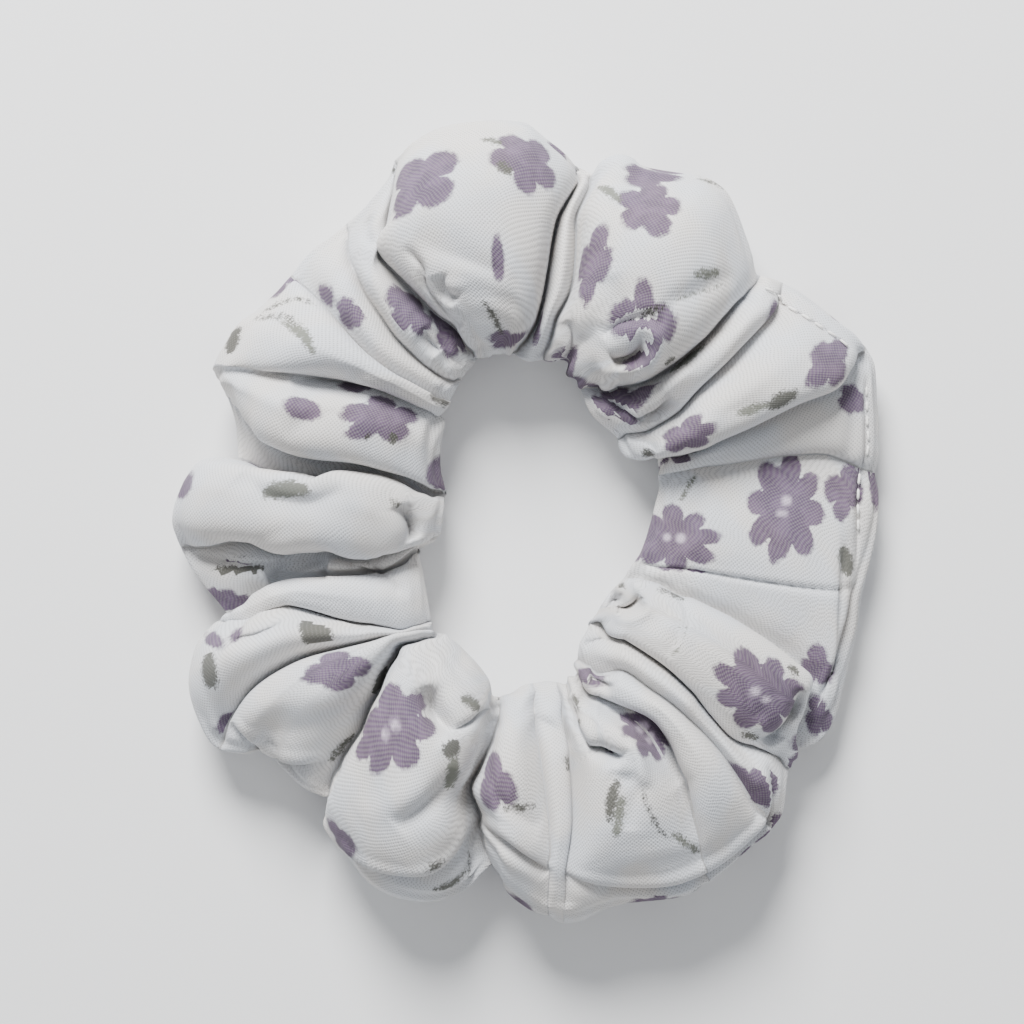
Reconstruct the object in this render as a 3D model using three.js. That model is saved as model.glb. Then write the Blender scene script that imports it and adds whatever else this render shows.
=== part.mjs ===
// A scrunchie: a gathered fabric tube closed into a ring round a band of elastic.
// Millimetres, +Z up. The ring lies flat on the plane z = 0, round the Z axis.
// The cloth is one strip. It is built here as eight sections, cut along the valleys between its
// gathers on planes through the Z axis, because they move apart along X as the ring stretches.
import * as THREE from "three";

// Driving dimensions.
const WALL = 1.2; // the doubled, crumpled cloth of the tube
const SECTION_STEP = 5; // degrees of the ring in one column of facets
const LOOP_POINTS = 16; // points round the tube
const CUT_HALF_ANGLE = 0.5; // degrees left free on each side of a cut
const TUBE_ROUNDNESS = 2.5; // exponent of the tube's superellipse
const FOOT_SINK = 1.4; // how far the round underside is pressed flat by the table
const THREAD = 0.5; // diameter of the sewing thread as laid
const THREAD_SIDES = 6;
const THREAD_CLEARANCE = 0.35;
const ELASTIC_WIDTH = 5;
const ELASTIC_THICKNESS = 1;
const ELASTIC_HEIGHT = 7.3; // of the band's centre line above the table
const ELASTIC_LAP = 24; // degrees of the ring where the elastic's ends lie on each other
const ZIGZAG_REACH = 1; // to each side of the band's centre line
const LAP_LIFT = ELASTIC_THICKNESS + THREAD_CLEARANCE;
const ZIGZAGS = 2;
const ZIGZAG_STEPS = 20; // points in one zigzag
const ZIGZAG_MARGIN = 0.15; // share of the lap left unsewn at each end
const ELASTIC_STEPS = 60;
const BAND_CORNERS = [[-1, -1], [1, -1], [1, 1], [-1, 1]]; // outwards and up
const ELASTIC_JOIN_ANGLE = 12; // where the overlap starts, beside the closing seam
const LONG_SEAM_STEPS = 90;
const LONG_SEAM_INSET = 1.4; // from the lining to the seam thread, at the outer edge
const END_SEAM_ANGLE = -11;
const END_SEAM_STEPS = 30;
const TOPSTITCH_ANGLES = [-4, 43]; // the turning gap in the long seam
const TOPSTITCH_STEPS = 48;
const TOPSTITCH_SPAN = 0.4; // place round the tube: 0 is the inner edge, 0.5 the outer edge
const TOPSTITCH_PITCH = 3;
const TOPSTITCH_WAVE = 0.15;

// Each section of the cover, and the angle where it starts.
const SECTIONS = [
  ["cover_closing_part", -40],
  ["cover_gather_upper_right", 42],
  ["cover_gather_top", 81],
  ["cover_gather_upper_left", 128],
  ["cover_gather_left", 167],
  ["cover_gather_lower_left", 196],
  ["cover_gather_lower", 233],
  ["cover_gather_bottom", 264.5],
];

// The gathers' outer edge: angle in degrees, radius, and height of the cloth there.
const OUTER_EDGE = [
  [0, 53.8, 13], [15, 55.4, 15], [30, 58, 19], [40, 54, 21], [46, 52.4, 17], [53, 54, 22],
  [60, 58.6, 24], [70, 56.7, 23], [75, 57, 21], [81, 53, 16], [90, 60, 23], [100, 60.8, 25],
  [110, 59, 23], [121, 53, 17], [135, 51.3, 18], [145, 53, 22], [153, 54, 23], [160, 48.5, 16],
  [167, 45, 13], [172, 50.5, 18], [180, 54, 22], [187, 52.4, 18], [196.5, 48, 14], [205, 56, 20],
  [215, 58, 21], [222, 53, 18], [233, 51, 15], [238, 55.8, 21], [250, 60, 24], [259, 57, 20],
  [264.5, 51.5, 15], [275, 60.8, 21], [288, 60, 24], [301, 60.5, 23], [311, 59, 20],
  [320, 53.8, 16], [330, 54.6, 15], [345, 53.4, 13],
];

// The gathers' inner edge: angle in degrees and radius.
const INNER_EDGE = [
  [0, 17.8], [24, 21], [45, 18], [60, 19.5], [74, 23.5], [90, 24], [105, 25], [119, 22],
  [135, 18], [155, 14.2], [172, 13], [190, 15.4], [212, 18.5], [226, 21.5], [240, 21.5],
  [258, 26], [272, 24.5], [285, 24], [294, 20], [306, 17.2], [330, 16.6],
];

// The elastic's own ring, smoother than the cloth round it: angle in degrees and radius.
const ELASTIC_RING = [
  [0, 25], [40, 24.4], [60, 25], [80, 27.8], [100, 30], [125, 25.5], [150, 20.5], [175, 18.4],
  [200, 20.8], [220, 24.8], [250, 29], [265, 30], [290, 27.2], [310, 22.4], [325, 22.2],
  [342, 24.8],
];

const radians = THREE.MathUtils.degToRad;

// The value at an angle on a closed row of [angle, value, ...] knots, as a smooth curve.
function around(knots, angle, column = 1) {
  const a = ((angle % 360) + 360) % 360;
  const n = knots.length;
  const next = knots.findIndex((knot) => knot[0] > a);
  const i = (next < 0 ? n : next) - 1;
  const knot = (k) => {
    const turn = Math.floor(k / n);
    const row = knots[k - turn * n];
    return [row[0] + 360 * turn, row[column]];
  };
  const [before, from, to, after] = [i - 1, i, i + 1, i + 2].map(knot);
  const span = to[0] - from[0];
  const slopeFrom = (to[1] - before[1]) / (to[0] - before[0]);
  const slopeTo = (after[1] - from[1]) / (after[0] - from[0]);
  const t = (a - from[0]) / span;
  const bend = t * t * (3 - 2 * t);
  return (
    from[1] + (to[1] - from[1]) * bend +
    span * (slopeFrom * t * (1 - t) * (1 - t) - slopeTo * t * t * (1 - t))
  );
}

function polar(angle, radius, height) {
  const a = radians(angle);
  return new THREE.Vector3(radius * Math.cos(a), radius * Math.sin(a), height);
}

// A point of the tube's skin. round runs 0 to 1 from the inner edge over the top and back
// underneath, and depth is how far inside the outer skin the point lies.
function skin(angle, round, depth = 0) {
  const inner = around(INNER_EDGE, angle) + depth;
  const outer = around(OUTER_EDGE, angle) - depth;
  const top = around(OUTER_EDGE, angle, 2) - depth;
  const turn = 2 * Math.PI * round;
  const ease = (x) => Math.sign(x) * Math.abs(x) ** (2 / TUBE_ROUNDNESS);
  const radius = (inner + outer) / 2 - ((outer - inner) / 2) * ease(Math.cos(turn));
  const middle = (top + depth - FOOT_SINK) / 2;
  const z = middle + (top - middle) * ease(Math.sin(turn));
  return polar(angle, radius, Math.max(z, depth));
}

function mesh(name, geometry, material) {
  const made = new THREE.Mesh(geometry, material);
  made.name = name;
  return made;
}

function solidFrom(points, faces) {
  const geometry = new THREE.BufferGeometry();
  geometry.setAttribute(
    "position",
    new THREE.Float32BufferAttribute(points.flatMap((p) => p.toArray()), 3),
  );
  geometry.setIndex(faces);
  geometry.computeVertexNormals();
  return geometry;
}

// Two triangles for the quad a, b, c, d.
const quad = (a, b, c, d) => [a, b, c, a, c, d];

// One section of the fabric tube, open at both ends, from one angle to another.
function coverSection(from, to) {
  const points = [];
  const faces = [];
  const steps = Math.round((to - from) / SECTION_STEP);
  const loops = steps + 1;
  for (const depth of [0, WALL])
    for (let i = 0; i < loops; i++)
      for (let j = 0; j < LOOP_POINTS; j++) {
        const angle = from + ((to - from) * i) / steps;
        points.push(skin(angle, j / LOOP_POINTS, depth));
      }
  const at = (layer, i, j) => (layer * loops + i) * LOOP_POINTS + (j % LOOP_POINTS);
  for (let j = 0; j < LOOP_POINTS; j++) {
    for (let i = 0; i < steps; i++) {
      faces.push(...quad(at(0, i, j), at(0, i, j + 1), at(0, i + 1, j + 1), at(0, i + 1, j)));
      faces.push(...quad(at(1, i, j), at(1, i + 1, j), at(1, i + 1, j + 1), at(1, i, j + 1)));
    }
    const [k, m] = [j + 1, steps];
    faces.push(...quad(at(0, 0, j), at(1, 0, j), at(1, 0, k), at(0, 0, k)));
    faces.push(...quad(at(0, m, j), at(0, m, k), at(1, m, k), at(1, m, j)));
  }
  return solidFrom(points, faces);
}

// A round thread through the points, closed into a loop or with flat ends.
function thread(points, closed) {
  const path = new THREE.CatmullRomCurve3(points, closed);
  const section = new THREE.Shape();
  for (let k = 0; k < THREAD_SIDES; k++) {
    const a = (2 * Math.PI * k) / THREAD_SIDES;
    const [x, y] = [(THREAD / 2) * Math.cos(a), (THREAD / 2) * Math.sin(a)];
    if (k) section.lineTo(x, y);
    else section.moveTo(x, y);
  }
  section.closePath();
  if (!closed)
    return new THREE.ExtrudeGeometry(section, {
      steps: points.length,
      extrudePath: path,
      bevelEnabled: false,
    });
  const steps = points.length;
  const frames = path.computeFrenetFrames(steps, true);
  const rings = [];
  for (let i = 0; i < steps; i++)
    for (let k = 0; k < THREAD_SIDES; k++) {
      const a = (2 * Math.PI * k) / THREAD_SIDES;
      const side = frames.normals[i].clone().multiplyScalar(Math.cos(a));
      side.addScaledVector(frames.binormals[i], Math.sin(a));
      rings.push(path.getPointAt(i / steps).addScaledVector(side, THREAD / 2));
    }
  const faces = [];
  const at = (i, k) => (i % steps) * THREAD_SIDES + (k % THREAD_SIDES);
  for (let i = 0; i < steps; i++)
    for (let k = 0; k < THREAD_SIDES; k++)
      faces.push(...quad(at(i, k), at(i, k + 1), at(i + 1, k + 1), at(i + 1, k)));
  return solidFrom(rings, faces);
}

// How far out from its ring the elastic's centre lies: its last stretch laps over its start.
function elasticLift(angle) {
  const lapped = angle - (ELASTIC_JOIN_ANGLE + 360 - ELASTIC_LAP);
  return THREE.MathUtils.smoothstep(lapped, 0, ELASTIC_LAP) * LAP_LIFT;
}

const middleHeight = (angle) => (around(OUTER_EDGE, angle, 2) - FOOT_SINK) / 2;

// A flat band once round the ring, with its far end lying on the outside of its start.
function elasticBand() {
  const points = [];
  const faces = [];
  const sweep = 360 + ELASTIC_LAP;
  for (let i = 0; i <= ELASTIC_STEPS; i++) {
    const angle = ELASTIC_JOIN_ANGLE + (sweep * i) / ELASTIC_STEPS;
    const radius = around(ELASTIC_RING, angle) + elasticLift(angle);
    for (const [out, up] of BAND_CORNERS) {
      const r = radius + (out * ELASTIC_THICKNESS) / 2;
      points.push(polar(angle, r, ELASTIC_HEIGHT + (up * ELASTIC_WIDTH) / 2));
    }
  }
  for (let i = 0; i < ELASTIC_STEPS; i++)
    for (let k = 0; k < 4; k++) {
      const [a, b] = [4 * i + k, 4 * i + ((k + 1) % 4)];
      faces.push(...quad(a, a + 4, b + 4, b));
    }
  const end = 4 * ELASTIC_STEPS;
  faces.push(...quad(0, 1, 2, 3), ...quad(end, end + 3, end + 2, end + 1));
  return solidFrom(points, faces);
}

// The zigzag that sews the elastic's ends together, laid on the lap's outer face.
function elasticJoinStitch() {
  const points = [];
  const steps = ZIGZAG_STEPS * ZIGZAGS;
  const sewn = 1 - 2 * ZIGZAG_MARGIN;
  const out = LAP_LIFT + ELASTIC_THICKNESS / 2 + THREAD_CLEARANCE + THREAD / 2;
  for (let i = 0; i <= steps; i++) {
    const angle = ELASTIC_JOIN_ANGLE + ELASTIC_LAP * (ZIGZAG_MARGIN + (sewn * i) / steps);
    const up = ZIGZAG_REACH * Math.sin((2 * Math.PI * ZIGZAGS * i) / steps);
    points.push(polar(angle, around(ELASTIC_RING, angle) + out, ELASTIC_HEIGHT + up));
  }
  return thread(points, false);
}

function longSeamThread() {
  const points = [];
  for (let i = 0; i < LONG_SEAM_STEPS; i++) {
    const angle = (360 * i) / LONG_SEAM_STEPS;
    const radius = around(OUTER_EDGE, angle) - WALL - LONG_SEAM_INSET;
    points.push(polar(angle, radius, middleHeight(angle)));
  }
  return thread(points, true);
}

function endSeamThread() {
  const depth = WALL + THREAD_CLEARANCE + THREAD / 2;
  const points = [];
  for (let i = 0; i < END_SEAM_STEPS; i++)
    points.push(skin(END_SEAM_ANGLE, i / END_SEAM_STEPS, depth));
  return thread(points, true);
}

function topstitch() {
  const [from, to] = TOPSTITCH_ANGLES;
  const points = [];
  for (let i = 0; i <= TOPSTITCH_STEPS; i++) {
    const angle = from + ((to - from) * i) / TOPSTITCH_STEPS;
    const along = radians(angle - from) * around(OUTER_EDGE, angle);
    const wave = TOPSTITCH_WAVE * Math.cos((2 * Math.PI * along) / TOPSTITCH_PITCH);
    const proud = THREAD / 2 + THREAD_CLEARANCE + TOPSTITCH_WAVE + wave;
    points.push(skin(angle, TOPSTITCH_SPAN, -proud));
  }
  return thread(points, false);
}

const finish = (color, roughness) =>
  new THREE.MeshStandardMaterial({ color, roughness, metalness: 0 });
const CLOTH = [0xe9e7e6, 0.9];
const KNITTED_ELASTIC = [0xf2f1ee, 0.8];
const COTTON_THREAD = [0xf4f3f0, 0.6];

const scrunchie = new THREE.Group();
SECTIONS.forEach(([name, start], k) => {
  const end = k + 1 < SECTIONS.length ? SECTIONS[k + 1][1] : SECTIONS[0][1] + 360;
  const geometry = coverSection(start + CUT_HALF_ANGLE, end - CUT_HALF_ANGLE);
  scrunchie.add(mesh(name, geometry, finish(...CLOTH)));
});
scrunchie.add(mesh("elastic_band", elasticBand(), finish(...KNITTED_ELASTIC)));
scrunchie.add(mesh("elastic_join_stitch", elasticJoinStitch(), finish(...COTTON_THREAD)));
scrunchie.add(mesh("long_seam_thread", longSeamThread(), finish(...COTTON_THREAD)));
scrunchie.add(mesh("end_seam_thread", endSeamThread(), finish(...COTTON_THREAD)));
scrunchie.add(mesh("gap_topstitch", topstitch(), finish(...COTTON_THREAD)));

export default scrunchie;
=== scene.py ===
"""A gathered scrunchie of printed cotton: the cover, its seams and stitches, and the elastic inside it."""

import math
from collections import namedtuple

import bpy
import numpy as np
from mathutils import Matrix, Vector


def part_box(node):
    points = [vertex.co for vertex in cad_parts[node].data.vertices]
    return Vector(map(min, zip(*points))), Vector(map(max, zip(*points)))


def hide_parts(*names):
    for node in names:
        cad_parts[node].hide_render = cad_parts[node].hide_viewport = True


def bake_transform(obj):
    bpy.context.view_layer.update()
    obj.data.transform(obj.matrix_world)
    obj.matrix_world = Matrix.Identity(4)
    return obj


MM = 0.001
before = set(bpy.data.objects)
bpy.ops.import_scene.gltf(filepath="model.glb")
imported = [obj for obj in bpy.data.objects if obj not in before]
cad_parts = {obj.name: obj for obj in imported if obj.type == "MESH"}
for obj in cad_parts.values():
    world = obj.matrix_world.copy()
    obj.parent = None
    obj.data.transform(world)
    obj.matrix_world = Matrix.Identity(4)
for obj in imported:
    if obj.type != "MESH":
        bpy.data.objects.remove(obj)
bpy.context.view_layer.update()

# ---------------------------------------------------------------- camera and stage

VIEW_CENTRE = (-2.4 * MM, 1.5 * MM, 0.012)
VIEW_WIDTH = 0.1536  # what the picture spans at the height of the ring's middle
CAMERA_HEIGHT = 0.42
SENSOR = 36


def make_camera():
    data = bpy.data.cameras.new("camera")
    data.sensor_width = SENSOR
    data.lens = SENSOR * CAMERA_HEIGHT / VIEW_WIDTH
    camera = bpy.data.objects.new("camera", data)
    camera.location = (VIEW_CENTRE[0], VIEW_CENTRE[1], VIEW_CENTRE[2] + CAMERA_HEIGHT)
    bpy.context.collection.objects.link(camera)
    bpy.context.scene.camera = camera


make_camera()

# ---------------------------------------------------------------- the gathers, in millimetres

# Each gather starts at a valley that runs from the hole to the outer edge, and ends at the next
# gather's valley. They go anticlockwise seen from above, from the flat part with the closing seam.
#   valley   the valley's line, from the hole outwards
#   floor    the cloth's height in the valley, near the hole, midway and near the outer edge
#   lap      how far this gather laps over the one before, or that one over this, if negative
#   crown    this gather's height along its middle, near the hole, midway and near the outer edge
#   hole     the inner outline between the two valleys
#   edge     the outer outline between the two valleys
Gather = namedtuple("Gather", "name valley floor lap crown hole edge")

GATHERS = [
    Gather("closing part",
        [(14.6, -8.3), (20, -9.8), (24, -11.5), (30, -14.5), (35, -17.5), (40, -21),
         (42.6, -23.6), (41.8, -27), (40.6, -31), (41, -34.3)],
        (7, 6.5, 5), -1.6, (11, 11.5, 10),
        [(15.5, -6.5), (17.5, -3.5), (18.5, 0), (19.3, 4)],
        [(44, -33.6), (46, -32), (47.4, -29), (48, -26), (49, -21), (50, -17), (51, -12),
         (52, -8.5), (53, -4.5), (53.8, 0), (54, 4)]),
    Gather("ledge",
        [(19.6, 7.4), (22, 8), (25, 8.3), (30, 9), (35, 9.8), (40, 10.4), (45, 10.5),
         (50, 8.6), (53.5, 7.7)],
        (8.5, 8.5, 8.5), 0.5, (11.5, 11.5, 12),
        [(19.7, 8.6)],
        [(54, 10), (54, 12), (53.8, 16), (53.6, 19), (53.3, 24)]),
    Gather("topstitched gather",
        [(19.7, 9.9), (22, 10.2), (26, 11), (30, 13), (35, 15.5), (40, 18), (44.5, 19.7),
         (46.5, 21), (48.5, 23.5), (50.3, 25.6), (52, 26.8)],
        (8, 8.5, 9), 2, (15, 19, 16.5),
        [(16.5, 9.2), (14.5, 9.5), (13.5, 11)],
        [(50, 28.5), (46, 31.5), (42, 34.5), (40, 35.6)]),
    Gather("slim gather",
        [(13.2, 12.2), (15, 13.2), (18, 13.6), (20, 14.6), (22.5, 16.6), (25, 19.5),
         (28, 22.5), (33, 27.5), (36.6, 31.3), (38.4, 35), (38.6, 36.3)],
        (10, 13, 14), 0.5, (15, 18, 17),
        [(12, 13.3), (9, 16)],
        [(37, 37)]),
    Gather("upper right gather",
        [(7.4, 19.9), (10.3, 20.6), (13, 20.1), (17, 21), (20, 22.6), (24, 25.5), (28, 29),
         (33, 34.5), (35.3, 37.5)],
        (9, 11, 12), 1.8, (19, 24, 20),
        [(6.6, 21), (5.6, 22.5), (6, 24.3), (4, 24.5)],
        [(34.5, 38), (33, 42), (31.5, 47), (30, 50), (27.5, 51.8), (25, 52.3), (18, 53.4),
         (16, 54.8), (14, 55.3), (11.5, 54.4)]),
    Gather("tucked pleat",
        [(2.1, 24.4), (3.2, 27.5), (4.6, 31), (6.4, 34.6), (7, 38), (7, 42), (7, 46),
         (9, 50), (9.8, 52.6)],
        (12, 13, 10), -0.4, (16, 18, 13),
        [(-0.4, 23.9)],
        [(8.4, 53.4)]),
    Gather("top gather",
        [(-2.6, 25.2), (0.3, 28.5), (2, 32), (3, 38), (4, 44), (5.5, 47.4), (7.6, 50.8),
         (7.3, 53.6)],
        (8, 10, 9), 1.2, (20, 24.5, 22),
        [(-5, 24.9)],
        [(6, 55), (3, 57.5), (0, 60), (-3, 60.5), (-8, 60.4), (-13, 59.8), (-17, 58),
         (-19.2, 56)]),
    Gather("upper left pleat",
        [(-7.4, 24.7), (-9.5, 27), (-11, 29.5), (-15, 32.5), (-19, 36), (-22.6, 40.5),
         (-21.3, 44.5), (-20.6, 49), (-20.2, 54.8)],
        (9, 12, 10), -1.5, (15, 18, 14),
        [(-8.5, 23.4)],
        [(-21, 52.5), (-23, 50), (-25, 47.5)]),
    Gather("upper left slope",
        [(-9.9, 21.6), (-12, 21.6), (-15, 23.5), (-19, 27), (-22, 31), (-24.5, 34.5),
         (-27, 40), (-27.5, 45)],
        (10, 13, 12), -0.4, (14, 18, 16),
        [(-10.7, 19.8)],
        [(-30, 43), (-33, 41)]),
    Gather("upper left gather",
        [(-11.8, 17.8), (-14.5, 18.7), (-18, 20.5), (-22, 23), (-26, 27), (-29, 30.5),
         (-32, 33.8), (-36, 37.4)],
        (11, 14, 14), 0.8, (17, 22, 19),
        [(-12.6, 16.4)],
        [(-38, 35), (-41, 32.2), (-44, 30), (-46, 27), (-47.2, 25)]),
    Gather("upper left roll",
        [(-13.3, 15.4), (-16, 17.6), (-20, 19.2), (-24, 20.5), (-28, 21.4), (-35, 22),
         (-42, 23), (-47.8, 23.6)],
        (11, 15, 20), -0.8, (15, 21.5, 18),
        [(-12.5, 14.5), (-13.3, 8)],
        [(-47.3, 22), (-46.6, 21)]),
    Gather("hollow under the roll",
        [(-12.5, 4.3), (-15, 5.2), (-18, 6.6), (-22, 8), (-27, 9.3), (-32, 10), (-36, 11),
         (-40, 13), (-43, 16), (-45.4, 19)],
        (6, 6, 6), -2.2, (7, 8, 8.5),
        [(-12.3, 4)],
        [(-44.6, 16), (-44.2, 13)]),
    Gather("left lobe",
        [(-12.4, 3.7), (-16, 4.9), (-20, 6.6), (-24, 7.9), (-28, 8.2), (-30, 6.8),
         (-33, 7.2), (-38, 7.5), (-41, 8.2), (-44, 9.6)],
        (6, 6, 6), 1, (16, 20, 18),
        [(-12, 2), (-12.3, 0)],
        [(-47, 10), (-50, 9.2), (-52, 6.5), (-53.5, 3), (-54, 0), (-53.4, -2)]),
    Gather("left hollow",
        [(-12.9, -1.6), (-16, -3), (-20, -4.2), (-25, -4.6), (-30, -4.1), (-35, -3.4),
         (-40, -3), (-45, -2.6), (-50, -3.2), (-52.6, -3.8)],
        (6, 6, 7), -1.8, (11, 12.5, 12),
        [(-14.5, -2.9), (-16.6, -3.3)],
        [(-51, -7), (-49, -10), (-47.5, -12)]),
    Gather("tongue",
        [(-16.8, -4.2), (-20, -6.6), (-24, -8), (-30, -8.6), (-36, -9.4), (-40, -11),
         (-43, -13.2), (-46.2, -14)],
        (6, 7, 8), 1.2, (14, 15.5, 13),
        [(-16, -7), (-15.3, -11)],
        [(-46.6, -14.3)]),
    Gather("lower left gather",
        [(-14.8, -15.2), (-18, -16.5), (-20.5, -16.4), (-25, -14.6), (-30, -13.1),
         (-34, -12.1), (-38, -12.6), (-42, -14.5), (-47, -14.9)],
        (8, 11, 12), -0.8, (14, 18, 16),
        [(-14.6, -16)],
        [(-48, -15.5), (-50, -18), (-51, -21), (-51.5, -24.5), (-51, -27.5), (-49.5, -31),
         (-48, -33.5)]),
    Gather("lower left lobe",
        [(-14.3, -16.7), (-20, -16.9), (-22, -17.1), (-27, -18.5), (-32, -20),
         (-35, -21.2), (-39, -23.5), (-42, -26), (-44, -28.5), (-45.6, -31.5),
         (-46.5, -34.6)],
        (9, 12, 9), 1.2, (17, 20, 16),
        [(-13.9, -16.9)],
        [(-43, -35), (-39.5, -34.4), (-37, -37), (-34, -40), (-31.5, -41.3)]),
    Gather("lower gather",
        [(-13.5, -16.9), (-18.3, -17.9), (-20, -20.5), (-22, -25), (-23.5, -27.8),
         (-24.8, -31), (-27, -34.5), (-29.3, -38.5), (-30.3, -41.6)],
        (10, 10, 8), 1.6, (20, 22.5, 19),
        [(-11.5, -17.3), (-9, -19.5), (-7, -21.5), (-5.7, -24), (-5.4, -26.4)],
        [(-30.5, -44.5), (-30.7, -46), (-29.5, -48), (-27, -51), (-24, -54.5), (-20, -56.5),
         (-15, -57.5), (-12, -57), (-9, -55.5), (-7, -53)]),
    Gather("bottom left gather",
        [(-4.6, -27), (-4.4, -29), (-5.3, -33), (-7, -37), (-8.6, -40), (-7, -43.5),
         (-7, -46), (-6.3, -49), (-5.5, -51.6)],
        (8, 9, 7), 0.8, (19, 21, 19),
        [(-2, -25), (-0.5, -24.2)],
        [(-4, -53.5), (-3, -56), (0, -58.7), (1.5, -59.6)]),
    Gather("bottom pleat",
        [(0.6, -24.1), (1, -30), (1.9, -35), (2.6, -40), (3.3, -46), (3.2, -51),
         (2.8, -56), (2.8, -60.1)],
        (14, 16.5, 18), 0, (17, 19, 18),
        [(2.6, -23.9)],
        [(4, -60.5)]),
    Gather("bottom gather",
        [(4.5, -24.2), (5, -30), (5.8, -35), (6.3, -44), (5.6, -52), (5.4, -60.7)],
        (14, 16.5, 18.2), -0.3, (19, 23.5, 18.4),
        [(5.5, -24), (6.8, -22.8)],
        [(8, -60.5), (11, -59), (14, -57.8), (18, -57.2), (22, -56.8), (25, -56)]),
    Gather("bottom right gather",
        [(7.1, -22.2), (9, -25.6), (13, -26.2), (18, -27.8), (21, -31), (23, -36),
         (24.5, -42), (26, -50), (27.5, -54.3)],
        (12, 16, 18.6), 0.6, (18, 23, 18.6),
        [(7, -21.4)],
        [(31, -51.5), (34, -49), (36, -47.7)]),
    Gather("lower right strip",
        [(7.2, -20.6), (9, -22), (12, -22.4), (15, -23), (18, -25), (22, -28), (26, -31.5),
         (29, -35), (31.5, -39), (34, -43), (37.4, -46.4)],
        (11, 14, 14), -0.5, (15, 18.5, 17),
        [(7.4, -18), (8.3, -16)],
        [(38.5, -45), (39, -43), (39.3, -40)]),
    Gather("lapping fold",
        [(9, -15.4), (10.5, -14.7), (13, -16.5), (16, -18.5), (19.5, -20.7), (22, -22.6),
         (25, -25.5), (28, -28.5), (31, -31.5), (34, -33.2), (37, -34.5), (39.6, -38)],
        (9, 11, 10), 1.4, (16, 19, 14),
        [(11.5, -12), (13.5, -9.5)],
        [(40.5, -36), (40.8, -35)]),
]

# Folds that lie within a gather, on its upper side. Seen along a crease's line, the cloth sinks by
# depth at the line and recovers over the left width on one side and the right width on the other.
# A negative depth is a roll that stands up. The left side laps over the line by lap, or the right
# side does, if it is negative.
Crease = namedtuple("Crease", "line depth left right lap", defaults=[0])

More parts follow.
